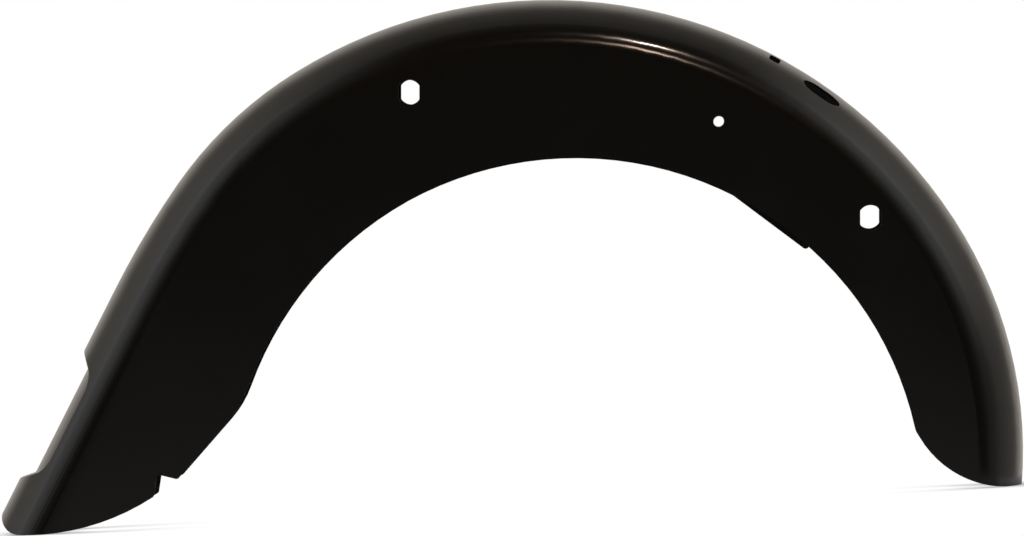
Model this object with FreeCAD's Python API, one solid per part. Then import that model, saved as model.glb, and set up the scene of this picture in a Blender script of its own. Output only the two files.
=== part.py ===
import FreeCAD, Part
import math
import os

from FreeCAD import Vector

os.makedirs("parts", exist_ok=True)

# A motorcycle's rear fender, pressed from one sheet of steel. Lengths are in millimetres and
# angles in degrees. X runs rearwards, Y to the right-hand side of the motorcycle and Z up.
# The sizes are set out from the centre of the wheel opening.

# The sheet, and its section across the fender: a shallow crown, a rounded shoulder on each side
# and two flat, upright sides.
sheet = 1.6
width = 180.0
crown_radius = 180.0
shoulder_radius = 20.0
side_depth = 150.0

# The run of the crown, seen from the side: a straight front skirt, two arcs that lead out of it,
# the main arch and the tail, each tangent to the next.
skirt_length = 238.4
skirt_radius = 675.3
skirt_turn = 8.0
brow_radius = 307.7
brow_turn = 23.5
arch_radius = 371.0
arch_turn = 88.7
arch_front_angle = 121.8
arch_ahead = 20.6
arch_above = 18.0
tail_radius = 327.6
tail_turn = 60.0

# The edge of each side: the wheel opening, the round end of the tail, the foot of the front skirt
# and the small notch behind the foot. The foot and the notch reach ahead of the opening's edge, and
# the foot drops below the opening's centre.
opening_radius = 267.6
opening_front_angle = 163.1
tail_end_radius = 77.0
tail_end_angle = 15.8
tail_end_bite = 2.4
tail_edge_rounding = 15.0
foot_radius = 180.0
foot_reach = 154.4
foot_drop = 21.0
foot_corner_radius = 14.0
foot_corner_margin = 1.0
notch_reach = 52.9
notch_up = 25.6
notch_width = 15.6
notch_drop = 3.8
notch_wall_angle = 81.4
notch_rounding = 2.5
skirt_edge_rounding = 80.0

# A shallow tab on the right-hand edge of the wheel opening.
tab_start_angle = 64.0
tab_end_angle = 47.9
tab_depth = 3.6
tab_rounding = 3.0

# The panel pressed into the crown of the front skirt, measured down the skirt from its top.
panel_start = 52.6
panel_length = 108.8
panel_width = 174.0
panel_depth = 8.7
panel_floor_radius = 220.0
panel_wall_lean = 45.0
panel_top_corner = 30.0
panel_foot_corner = 28.0
panel_floor_rounding = 4.0
panel_rim_rounding = 2.6

# The holes: two flatted strut holes and a bolt hole in each side, and a wiring hole and a clip
# slot on the left-hand half of the crown.
strut_hole_diameter = 19.05
strut_hole_flats = 15.9
front_strut_circle = 342.7
front_strut_angle = 111.9
rear_strut_circle = 316.5
rear_strut_angle = 44.6
bolt_hole_diameter = 8.4
bolt_hole_circle = 315.1
bolt_hole_angle = 69.7
wiring_hole_length = 33.0
wiring_hole_width = 25.0
wiring_hole_angle = 55.1
wiring_hole_offset = 45.0
clip_slot_length = 9.0
clip_slot_width = 23.5
clip_slot_angle = 62.0
clip_slot_offset = 29.0

half_width = width / 2
across = Vector(0, 1, 0)
centre = Vector(0, 0, 0)


def polar(radius, angle):
    """A point of the side view, from the centre of the wheel opening."""
    turn = math.radians(angle)
    return Vector(radius * math.cos(turn), 0, radius * math.sin(turn))


def heading(slope):
    """The way along the crown, towards the rear, where it has this slope."""
    return polar(1, slope)


def outward(slope):
    """The way out of the crown, where it has this slope."""
    return polar(1, slope + 90)


def crossing(start, way, middle, radius):
    """Where a line first meets a circle of the side view."""
    gap = start - middle
    half = gap.dot(way)
    root = math.sqrt(max(half * half - gap.dot(gap) + radius * radius, 0))
    return start + way * (-half - root)


# Where each run of the crown starts, worked out from the main arch.
arch_middle = Vector(-arch_ahead, 0, arch_above)
arch_slope = arch_front_angle - 90
brow_slope = arch_slope + brow_turn
skirt_slope = brow_slope + skirt_turn
tail_slope = arch_slope - arch_turn
arch_start = arch_middle + outward(arch_slope) * arch_radius
brow_start = arch_start + (outward(brow_slope) - outward(arch_slope)) * brow_radius
skirt_end = brow_start + (outward(skirt_slope) - outward(brow_slope)) * skirt_radius
skirt_start = skirt_end - heading(skirt_slope) * skirt_length
tail_start = arch_middle + outward(tail_slope) * arch_radius


def section(place, slope, inset):
    """The section across the fender as a face, with its walls moved inwards by the inset."""
    out = outward(slope)
    crown = crown_radius - inset
    shoulder = shoulder_radius - inset
    lean = math.asin((half_width - shoulder_radius) / (crown_radius - shoulder_radius))
    shoulder_y = half_width - shoulder_radius
    shoulder_depth = crown_radius - (crown_radius - shoulder_radius) * math.cos(lean)
    seam_y = crown * math.sin(lean)
    seam_depth = crown_radius - crown * math.cos(lean)
    bisector = lean / 2 + math.pi / 4
    round_y = shoulder_y + shoulder * math.sin(bisector)
    round_depth = shoulder_depth - shoulder * math.cos(bisector)
    side_y = half_width - inset
    open_depth = side_depth + 2 * inset

    def at(y, depth):
        return place + across * y - out * depth

    top = at(0, inset)
    right_seam = at(seam_y, seam_depth)
    right_side = at(side_y, shoulder_depth)
    left_seam = at(-seam_y, seam_depth)
    left_side = at(-side_y, shoulder_depth)
    edges = [
        Part.Arc(left_seam, top, right_seam).toShape(),
        Part.Arc(right_seam, at(round_y, round_depth), right_side).toShape(),
        Part.makeLine(right_side, at(side_y, open_depth)),
        Part.makeLine(at(side_y, open_depth), at(-side_y, open_depth)),
        Part.makeLine(at(-side_y, open_depth), left_side),
        Part.Arc(left_side, at(-round_y, round_depth), left_seam).toShape(),
    ]
    return Part.Face(Part.Wire(edges))


def bend(place, slope, radius, turn, inset):
    """One arc of the fender: the section turned about the centre of the arc."""
    axle = place - outward(slope) * radius
    return section(place, slope, inset).revolve(axle, across, turn)


def blank(inset):
    """The fender as a filled body, before its panel is pressed and its edges are trimmed."""
    skirt = section(skirt_start, skirt_slope, inset).extrude(skirt_end - skirt_start)
    runs = [
        bend(skirt_end, skirt_slope, skirt_radius, skirt_turn, inset),
        bend(brow_start, brow_slope, brow_radius, brow_turn, inset),
        bend(arch_start, arch_slope, arch_radius, arch_turn, inset),
        bend(tail_start, tail_slope, tail_radius, tail_turn, inset),
    ]
    return skirt.multiFuse(runs).removeSplitter()


def panel_outline(depth, inset):
    """The rounded outline of the pressed panel at a depth below the crown."""
    lean = math.radians(panel_wall_lean)
    grow = inset / math.cos(lean) - depth * math.tan(lean)
    down = heading(skirt_slope) * -1
    out = outward(skirt_slope)

    def corner(run, run_side, y_side, radius):
        middle_run = run - run_side * radius
        middle_y = y_side * (panel_width / 2 + grow - radius)
        points = []
        for angle in (0, 45, 90):
            turn = math.radians(angle)
            along = middle_run + run_side * radius * math.cos(turn)
            aside = middle_y + y_side * radius * math.sin(turn)
            points.append(skirt_end + down * along + across * aside - out * depth)
        return points

    start = panel_start - grow
    end = panel_start + panel_length + grow
    top_radius = max(panel_top_corner + grow, sheet)
    low_radius = max(panel_foot_corner + grow, sheet)
    top_right = corner(start, -1, 1, top_radius)
    foot_right = corner(end, 1, 1, low_radius)
    foot_left = corner(end, 1, -1, low_radius)
    top_left = corner(start, -1, -1, top_radius)
    edges = [
        Part.Arc(*top_right).toShape(),
        Part.makeLine(top_right[2], foot_right[2]),
        Part.Arc(*foot_right).toShape(),
        Part.makeLine(foot_right[0], foot_left[0]),
        Part.Arc(*foot_left).toShape(),
        Part.makeLine(foot_left[2], top_left[2]),
        Part.Arc(*top_left).toShape(),
        Part.makeLine(top_left[0], top_right[0]),
    ]
    return Part.Wire(Part.__sortEdges__(edges))


def panel_pocket(inset):
    """The room above the pressed panel, with its floor and walls moved outwards by the inset."""
    floor_fall = panel_floor_radius - math.sqrt(panel_floor_radius ** 2 - (panel_width / 2) ** 2)
    above = panel_outline(-panel_depth, inset)
    below = panel_outline(panel_depth + floor_fall + inset, inset)
    room = Part.makeLoft([above, below], True, True)
    down = heading(skirt_slope) * -1
    axle = skirt_end - outward(skirt_slope) * (panel_depth + panel_floor_radius)
    floor = Part.makeCylinder(panel_floor_radius - inset, panel_start + 2 * panel_length, axle, down)
    floor.rotate(axle, down, 180)
    room = room.cut(floor)
    foot_edges = []
    for edge in room.Edges:
        point = edge.valueAt((edge.FirstParameter + edge.LastParameter) / 2)
        if Part.Vertex(point).distToShape(floor.Faces[0])[0] < 0.001:
            foot_edges.append(edge)
    return room.makeFillet(panel_floor_rounding + inset, foot_edges)


def pressing(inset, rim_rounding):
    """The fender as a filled body with its panel pressed in, and the panel's rim rounded or left sharp."""
    body = blank(inset)
    pocket = panel_pocket(inset)
    pressed = body.cut(pocket)
    if rim_rounding == 0:
        return pressed
    rim = []
    for edge in pressed.Edges:
        point = Part.Vertex(edge.valueAt((edge.FirstParameter + edge.LastParameter) / 2))
        on_body = point.distToShape(body.Shells[0])[0] < 0.001
        on_pocket = point.distToShape(pocket.Shells[0])[0] < 0.001
        if on_body and on_pocket:
            rim.append(edge)
    return pressed.makeFillet(rim_rounding, rim)


def corner_edges(body, places):
    """The edges of a body that run across the fender at these places of the side view."""
    found = []
    for edge in body.Edges:
        first = edge.valueAt(edge.FirstParameter)
        last = edge.valueAt(edge.LastParameter)
        for place in places:
            straight = math.hypot(first.x - last.x, first.z - last.z) < 0.001
            if straight and math.hypot(first.x - place.x, first.z - place.z) < 0.001:
                found.append(edge)
    return found


def profile(edges):
    """A body of the side view's outline, as wide as the fender and a little more."""
    face = Part.Face(Part.Wire(edges))
    face.translate(across * -width)
    return face.extrude(across * 2 * width)


# The outline of both sides, with room outside the crown.
foot_middle = Vector(-opening_radius - foot_reach, 0, foot_radius - foot_drop)
tail_end_middle = polar(opening_radius + tail_end_radius - tail_end_bite, tail_end_angle)
foot_line = skirt_end + outward(skirt_slope) * (foot_corner_margin - foot_corner_radius)
corner_middle = crossing(foot_line, heading(skirt_slope), foot_middle, foot_radius - foot_corner_radius)
crown_point = corner_middle + outward(skirt_slope) * foot_corner_radius
foot_way = corner_middle - foot_middle
foot_way.normalize()
foot_point = foot_middle + foot_way * foot_radius
corner_way = outward(skirt_slope) + foot_way
corner_way.normalize()
notch_inner = Vector(-opening_radius - notch_reach, 0, notch_up)
notch_outer = notch_inner + Vector(notch_width, 0, -notch_drop)
notch_foot = crossing(notch_inner + polar(foot_radius, notch_wall_angle + 180),
                      polar(1, notch_wall_angle), foot_middle, foot_radius)
foot_low = foot_point + notch_foot - foot_middle * 2
foot_low.normalize()
front_point = polar(opening_radius, opening_front_angle)
spread = tail_end_middle.Length
near = (spread ** 2 + opening_radius ** 2 - tail_end_radius ** 2) / (2 * spread)
rear_point = polar(opening_radius, tail_end_angle - math.degrees(math.acos(near / opening_radius)))
rear_low = tail_end_middle - Vector(0, 0, tail_end_radius)
rear_end = tail_end_middle + polar(tail_end_radius, -40)
front_clear = crown_point + outward(skirt_slope) * width
roof = arch_middle.z + arch_radius + width
rear_clear = rear_end + Vector(width, 0, 0)
outline = profile([
    Part.Arc(crown_point, corner_middle + corner_way * foot_corner_radius, foot_point).toShape(),
    Part.Arc(foot_point, foot_middle + foot_low * foot_radius, notch_foot).toShape(),
    Part.makeLine(notch_foot, notch_inner),
    Part.makeLine(notch_inner, notch_outer),
    Part.makeLine(notch_outer, front_point),
    Part.Arc(front_point, Vector(0, 0, opening_radius), rear_point).toShape(),
    Part.Arc(rear_point, rear_low, rear_end).toShape(),
    Part.makeLine(rear_end, rear_clear),
    Part.makeLine(rear_clear, Vector(rear_clear.x, 0, roof)),
    Part.makeLine(Vector(rear_clear.x, 0, roof), Vector(front_clear.x, 0, roof)),
    Part.makeLine(Vector(front_clear.x, 0, roof), front_clear),
    Part.makeLine(front_clear, crown_point),
])
outline = outline.makeFillet(notch_rounding, corner_edges(outline, [notch_foot, notch_inner, notch_outer]))
outline = outline.makeFillet(skirt_edge_rounding, corner_edges(outline, [front_point]))
outline = outline.makeFillet(tail_edge_rounding, corner_edges(outline, [rear_point]))

# The tab on the right-hand side only.
tab_start = polar(opening_radius, tab_start_angle)
tab_end = polar(opening_radius - tab_depth, tab_end_angle)
tab_root = polar(opening_radius + 2 * tab_depth, tab_end_angle)
tab_back = polar(opening_radius + 2 * tab_depth, tab_start_angle)
tab = profile(Part.makePolygon([tab_start, tab_end, tab_root, tab_back, tab_start]).Edges)
tab = tab.makeFillet(tab_rounding, corner_edges(tab, [tab_end]))
tab.translate(across * width)
outline = outline.fuse(tab)

# The pressing, hollowed to the thickness of the sheet and trimmed to the outline. The sheet is
# stretched thinner at the panel's rim, which is sharp on the underside.
shell = pressing(0, panel_rim_rounding).cut(pressing(sheet, 0))
fender = shell.common(outline)


def through(tool, place):
    """A tool that passes through both sides at a place of the side view."""
    tool.rotate(centre, Vector(1, 0, 0), -90)
    tool.translate(place - across * width)
    return tool


def strut_hole(place):
    """A round hole with two upright flats."""
    round_part = Part.makeCylinder(strut_hole_diameter / 2, 2 * width)
    flats = Part.makeBox(strut_hole_flats, strut_hole_diameter, 2 * width)
    flats.translate(Vector(-strut_hole_flats / 2, -strut_hole_diameter / 2, 0))
    return through(round_part.common(flats).removeSplitter(), place)


def crown_slot(length, breadth, angle, offset):
    """A slot with round ends, square to the crown, at an angle on the arch."""
    radius = min(length, breadth) / 2
    along = length / 2 - radius
    aside = breadth / 2 - radius
    height = 4 * shoulder_radius
    slot = Part.makeCylinder(radius, height, Vector(along, aside, -height / 2))
    slot = slot.fuse(Part.makeCylinder(radius, height, Vector(-along, -aside, -height / 2)))
    if abs(length - breadth) > 0.01:
        run = max(along, radius if aside > 0 else 0)
        rise = max(aside, radius if along > 0 else 0)
        slot = slot.fuse(Part.makeBox(2 * run, 2 * rise, height, Vector(-run, -rise, -height / 2)))
    slot.rotate(centre, Vector(1, 0, 0), -math.degrees(math.asin(offset / crown_radius)))
    slot.rotate(centre, across, 90 - angle)
    depth = crown_radius - math.sqrt(crown_radius ** 2 - offset ** 2)
    slot.translate(arch_middle + polar(arch_radius - depth, angle) + across * offset)
    return slot.removeSplitter()


holes = [
    strut_hole(polar(front_strut_circle, front_strut_angle)),
    strut_hole(polar(rear_strut_circle, rear_strut_angle)),
    through(Part.makeCylinder(bolt_hole_diameter / 2, 2 * width), polar(bolt_hole_circle, bolt_hole_angle)),
    crown_slot(wiring_hole_length, wiring_hole_width, wiring_hole_angle, -wiring_hole_offset),
    crown_slot(clip_slot_length, clip_slot_width, clip_slot_angle, -clip_slot_offset),
]
fender = fender.cut(holes)

# The fender stands on the foot of its skirt and the end of its tail, with the origin on the
# ground under the middle of it.
foot_to_tail = tail_end_middle - foot_middle
stand = math.asin((foot_radius - tail_end_radius) / foot_to_tail.Length)
stand = stand + math.atan2(foot_to_tail.z, foot_to_tail.x)
fender.rotate(centre, across, math.degrees(stand))
box = fender.optimalBoundingBox(False)
fender.translate(Vector(-box.Center.x, 0, -box.ZMin))
fender = fender.Solids[0]

fender.exportStep("parts/rear_fender.step")
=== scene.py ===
import math

import bpy
from mathutils import Matrix, Vector


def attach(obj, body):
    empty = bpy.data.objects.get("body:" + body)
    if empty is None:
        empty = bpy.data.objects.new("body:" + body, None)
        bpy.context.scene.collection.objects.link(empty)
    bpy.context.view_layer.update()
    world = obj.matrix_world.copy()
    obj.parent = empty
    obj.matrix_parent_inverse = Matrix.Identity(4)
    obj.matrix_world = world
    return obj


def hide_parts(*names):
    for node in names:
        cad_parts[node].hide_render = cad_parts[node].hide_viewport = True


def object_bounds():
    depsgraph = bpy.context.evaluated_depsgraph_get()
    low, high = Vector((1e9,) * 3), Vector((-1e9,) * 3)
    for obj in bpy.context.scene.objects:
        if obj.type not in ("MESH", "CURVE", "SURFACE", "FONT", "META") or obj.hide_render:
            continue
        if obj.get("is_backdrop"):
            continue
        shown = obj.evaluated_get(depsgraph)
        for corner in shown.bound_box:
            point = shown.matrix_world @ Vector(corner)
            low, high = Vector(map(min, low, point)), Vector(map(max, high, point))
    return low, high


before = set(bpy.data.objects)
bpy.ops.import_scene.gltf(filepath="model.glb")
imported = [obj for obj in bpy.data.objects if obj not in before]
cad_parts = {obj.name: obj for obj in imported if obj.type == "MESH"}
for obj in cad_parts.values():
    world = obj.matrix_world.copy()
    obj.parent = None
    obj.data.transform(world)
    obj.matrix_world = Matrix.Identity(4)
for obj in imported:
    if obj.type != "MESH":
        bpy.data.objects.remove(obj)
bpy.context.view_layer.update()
scene = bpy.context.scene
scene.view_settings.view_transform = "Standard"


# The fender. It is pressed from one sheet of steel, trimmed to its outline and punched, and then
# dipped and baked in satin black, inside and out. The shears leave its edges slightly eased.
edge_ease = 0.00045
edge_ease_segments = 2
merge_reach = 0.000002
crease_angle = math.radians(35)

paint_hex = "0E0C0A"
paint_cloud_hex = "13110E"
paint_roughness = 0.16
paint_roughness_spread = 0.03
paint_specular = 0.4
cloud_size = 0.060
peel_size = 0.0016
peel_height = 0.000010


def linear(code):
    """A colour written as sRGB hex, in Blender's linear values."""
    levels = [int(code[i:i + 2], 16) / 255 for i in (0, 2, 4)]
    return [c / 12.92 if c <= 0.04045 else ((c + 0.055) / 1.055) ** 2.4 for c in levels] + [1.0]


def node(tree, kind, values=None, links=None, **settings):
    """Adds a node with its settings, its socket values and the links into it."""
    made = tree.nodes.new(kind)
    for name, value in settings.items():
        setattr(made, name, value)
    for name, value in (values or {}).items():
        made.inputs[name].default_value = value
    for name, source in (links or {}).items():
        tree.links.new(source, made.inputs[name])
    return made


def satin_black_paint():
    """Baked satin black on steel: deep and smooth, with soft reflections.

    It has a faint cloudiness in tone and gloss, and the fine peel of a baked coat.
    """
    paint = bpy.data.materials.new("satin_black_paint")
    paint.use_nodes = True
    tree = paint.node_tree
    tree.nodes.clear()
    place = node(tree, "ShaderNodeTexCoord").outputs["Object"]
    clouds = node(tree, "ShaderNodeTexNoise",
                  {"Scale": 1 / cloud_size, "Detail": 3.0, "Roughness": 0.55}, {"Vector": place})
    tone = node(tree, "ShaderNodeMix", {"A": linear(paint_hex), "B": linear(paint_cloud_hex)},
                {"Factor": clouds.outputs["Fac"]}, data_type="RGBA")
    gloss = node(tree, "ShaderNodeMapRange",
                 {"To Min": paint_roughness - paint_roughness_spread,
                  "To Max": paint_roughness + paint_roughness_spread},
                 {"Value": clouds.outputs["Fac"]})
    peel = node(tree, "ShaderNodeTexNoise",
                {"Scale": 1 / peel_size, "Detail": 2.0, "Roughness": 0.5}, {"Vector": place})
    bump = node(tree, "ShaderNodeBump", {"Strength": 1.0, "Distance": peel_height},
                {"Height": peel.outputs["Fac"]})
    coat = node(tree, "ShaderNodeBsdfPrincipled", {"Specular IOR Level": paint_specular},
                {"Base Color": tone.outputs["Result"], "Roughness": gloss.outputs["Result"],
                 "Normal": bump.outputs["Normal"]})
    node(tree, "ShaderNodeOutputMaterial", links={"Surface": coat.outputs["BSDF"]})
    return paint


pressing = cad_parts["rear_fender"]
fender = pressing.copy()
fender.data = pressing.data.copy()
fender.name = "rear_fender_shell"
fender.parent = None
scene.collection.objects.link(fender)
bpy.ops.object.select_all(action="DESELECT")
fender.select_set(True)
bpy.context.view_layer.objects.active = fender
bpy.ops.object.mode_set(mode="EDIT")
bpy.ops.mesh.select_all(action="SELECT")
bpy.ops.mesh.remove_doubles(threshold=merge_reach)
bpy.ops.object.mode_set(mode="OBJECT")
bpy.ops.object.shade_smooth_by_angle(angle=crease_angle)
bpy.ops.object.modifier_add(type="BEVEL")
ease = fender.modifiers["Bevel"]
ease.width = edge_ease
ease.segments = edge_ease_segments
ease.limit_method = "ANGLE"
ease.angle_limit = crease_angle
bpy.ops.object.modifier_apply(modifier="Bevel")
bpy.ops.object.modifier_add(type="WEIGHTED_NORMAL")
fender.modifiers["WeightedNormal"].keep_sharp = True
bpy.ops.object.modifier_apply(modifier="WeightedNormal")

fender.data.materials.clear()
fender.data.materials.append(satin_black_paint())
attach(fender, "root")
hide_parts("rear_fender")


# The floor: plain and white, under the whole fender. The fender's shadow on it is painted shade, a
# darkening of its white near the fender. The camera sees it as white, and the paint mirrors it more
# dimly. It runs far out to both sides of the fender.
floor_hex = "F4F4F4"
floor_length = 0.92
floor_depth = 8.0
floor_ahead = 0.03
shadow_reach = 0.06
shadow_samples = 24
mirrored_level = 0.34

bpy.ops.object.select_all(action="DESELECT")
bpy.ops.mesh.primitive_plane_add(size=1.0, location=(-floor_ahead, 0.0, 0.0))
floor = bpy.context.object
floor.name = "floor"
floor.scale = (floor_length, floor_depth, 1.0)
bpy.ops.object.transform_apply(location=True, rotation=False, scale=True)
white = bpy.data.materials.new("white_floor")
white.use_nodes = True
tree = white.node_tree
tree.nodes.clear()
path = node(tree, "ShaderNodeLightPath")
camera_ray = path.outputs["Is Camera Ray"]
mirrored = node(tree, "ShaderNodeMath",
                links={0: path.outputs["Is Glossy Ray"], 1: path.outputs["Is Transmission Ray"]},
                operation="MAXIMUM")
seen = node(tree, "ShaderNodeMath", links={0: camera_ray, 1: mirrored.outputs[0]}, operation="MAXIMUM")
dimmed = node(tree, "ShaderNodeMath", {1: mirrored_level}, {0: mirrored.outputs[0]}, operation="MULTIPLY")
strength = node(tree, "ShaderNodeMath", links={0: camera_ray, 1: dimmed.outputs[0]}, operation="MAXIMUM")
# Painted shadow: ambient occlusion darkens the floor's emitted white near the fender, standing in for its
# shadow.
shade = node(tree, "ShaderNodeAmbientOcclusion", {"Distance": shadow_reach}, samples=shadow_samples)
bright = node(tree, "ShaderNodeEmission",
              links={"Color": shade.outputs["Color"], "Strength": strength.outputs[0]})
matt = node(tree, "ShaderNodeBsdfDiffuse", {"Color": linear(floor_hex)})
top = node(tree, "ShaderNodeMixShader",
           links={0: seen.outputs[0], 1: matt.outputs["BSDF"], 2: bright.outputs["Emission"]})
node(tree, "ShaderNodeOutputMaterial", links={"Surface": top.outputs["Shader"]})
floor.data.materials.append(white)
floor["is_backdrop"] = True


# The room: white where the camera looks. For the rest it is a studio with a pale, warm wall, a
# brighter strip low on it, a dim ceiling, a dark front, and a broad window on each side.
front_level = 0.03
wall_level = 0.17
strip_level = 0.58
ceiling_level = 0.09
window_level = 0.90
right_sill_share = 0.28
warm_hex = "FFF6EC"
window_hex = "F6FAFC"
white_hex = "FFFFFF"

world = bpy.data.worlds.new("studio")
scene.world = world
world.use_nodes = True
tree = world.node_tree
tree.nodes.clear()
path = node(tree, "ShaderNodeLightPath")
way = node(tree, "ShaderNodeTexCoord").outputs["Generated"]
along = node(tree, "ShaderNodeSeparateXYZ", links={"Vector": way})
upright = node(tree, "ShaderNodeVectorMath", {1: (1.0, 0.0, 1.0)}, {0: way}, operation="MULTIPLY")
unit = node(tree, "ShaderNodeVectorMath", links={0: upright.outputs[0]}, operation="NORMALIZE")
around = node(tree, "ShaderNodeSeparateXYZ", links={"Vector": unit.outputs[0]})

# Each fade has the direction that it follows, where it starts and ends, and its level at both.
# Along goes by the room's axes, and around is the direction about the camera's line of sight.
fades = {
    "wall": (along.outputs["Y"], 0.40, 0.85, front_level, wall_level),
    "strip": (along.outputs["Y"], 0.76, 0.98, 0.0, strip_level),
    "ceiling": (along.outputs["Z"], 0.20, 0.80, 0.0, ceiling_level),
    "ceiling_front": (along.outputs["Y"], -0.60, 0.30, 0.0, 1.0),
    "left_window": (around.outputs["X"], -0.20, -0.85, 0.0, window_level),
    "right_window": (around.outputs["X"], 0.40, 0.75, 0.0, window_level),
    "right_sill": (around.outputs["Z"], 0.10, 0.50, right_sill_share, 1.0),
    "window_front": (along.outputs["Y"], -1.05, -0.25, 0.0, 1.0),
    "window_back": (along.outputs["Y"], 0.93, 0.25, 0.0, 1.0),
}
light = {"camera": path.outputs["Is Camera Ray"]}
for name, (direction, start, end, low, high) in fades.items():
    fade = node(tree, "ShaderNodeMapRange",
                {"From Min": start, "From Max": end, "To Min": low, "To Max": high},
                {"Value": direction}, interpolation_type="SMOOTHSTEP")
    light[name] = fade.outputs["Result"]

# How the fades join to one level: the result, and what is joined to it.
joins = (
    ("ceiling", "MULTIPLY", "ceiling", "ceiling_front"),
    ("right_window", "MULTIPLY", "right_window", "right_sill"),
    ("windows", "ADD", "left_window", "right_window"),
    ("windows", "MULTIPLY", "windows", "window_front"),
    ("windows", "MULTIPLY", "windows", "window_back"),
    ("room", "MAXIMUM", "wall", "strip"),
    ("room", "MAXIMUM", "room", "ceiling"),
    ("room", "ADD", "room", "windows"),
    ("room", "MAXIMUM", "room", "camera"),
)
for result, operation, first, second in joins:
    joined = node(tree, "ShaderNodeMath", links={0: light[first], 1: light[second]}, operation=operation)
    light[result] = joined.outputs[0]

tint = node(tree, "ShaderNodeMix", {"A": linear(warm_hex), "B": linear(window_hex)},
            {"Factor": light["windows"]}, data_type="RGBA")
tint = node(tree, "ShaderNodeMix", {"B": linear(white_hex)},
            {"Factor": light["camera"], "A": tint.outputs["Result"]}, data_type="RGBA")
room = node(tree, "ShaderNodeBackground", links={"Color": tint.outputs["Result"], "Strength": light["room"]})
node(tree, "ShaderNodeOutputWorld", links={"Surface": room.outputs["Background"]})


# The lamps: two small warm lamps in front of the fender, above the camera, which draw the double
# line of light along its near shoulder. Each has its place, its length and height, power and colour.
shoulder = Vector((0.12, -0.08, 0.35))
lamps = {
    "high_lamp": ((0.71, -1.24, 2.47), 0.16, 0.04, 16.0, "FFE9D8"),
    "low_lamp": ((0.46, -2.18, 1.60), 0.12, 0.24, 6.2, "FFDCC4"),
}

for name, (place, length, height, power, code) in lamps.items():
    lamp = bpy.data.lights.new(name, "AREA")
    lamp.shape = "RECTANGLE"
    lamp.size = length
    lamp.size_y = height
    lamp.energy = power
    lamp.color = linear(code)[:3]
    holder = bpy.data.objects.new(name, lamp)
    holder.location = place
    holder.rotation_euler = (shoulder - Vector(place)).to_track_quat("-Z", "Y").to_euler()
    holder.visible_camera = False
    scene.collection.objects.link(holder)


# The camera looks square at the left-hand side, from a little above the crown. It stands far back,
# with a long lens, so that the holes of both sides line up and show white.
eye = Vector((0.1383, -18.09, 0.3389))
aim = Vector((0.0081, -0.09, 0.1861))
roll = math.radians(2.84)
lens_mm = 827.2
sensor_mm = 36.0
sight = 100.0

camera = bpy.data.cameras.new("camera")
camera.sensor_width = sensor_mm
camera.lens = lens_mm
camera.clip_end = sight
viewer = bpy.data.objects.new("camera", camera)
scene.collection.objects.link(viewer)
back = (eye - aim).normalized()
up = Vector((math.sin(roll), 0.0, math.cos(roll)))
right = up.cross(back).normalized()
up = back.cross(right)
viewer.matrix_world = Matrix.Translation(eye) @ Matrix((right, up, back)).transposed().to_4x4()
scene.camera = viewer

low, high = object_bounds()
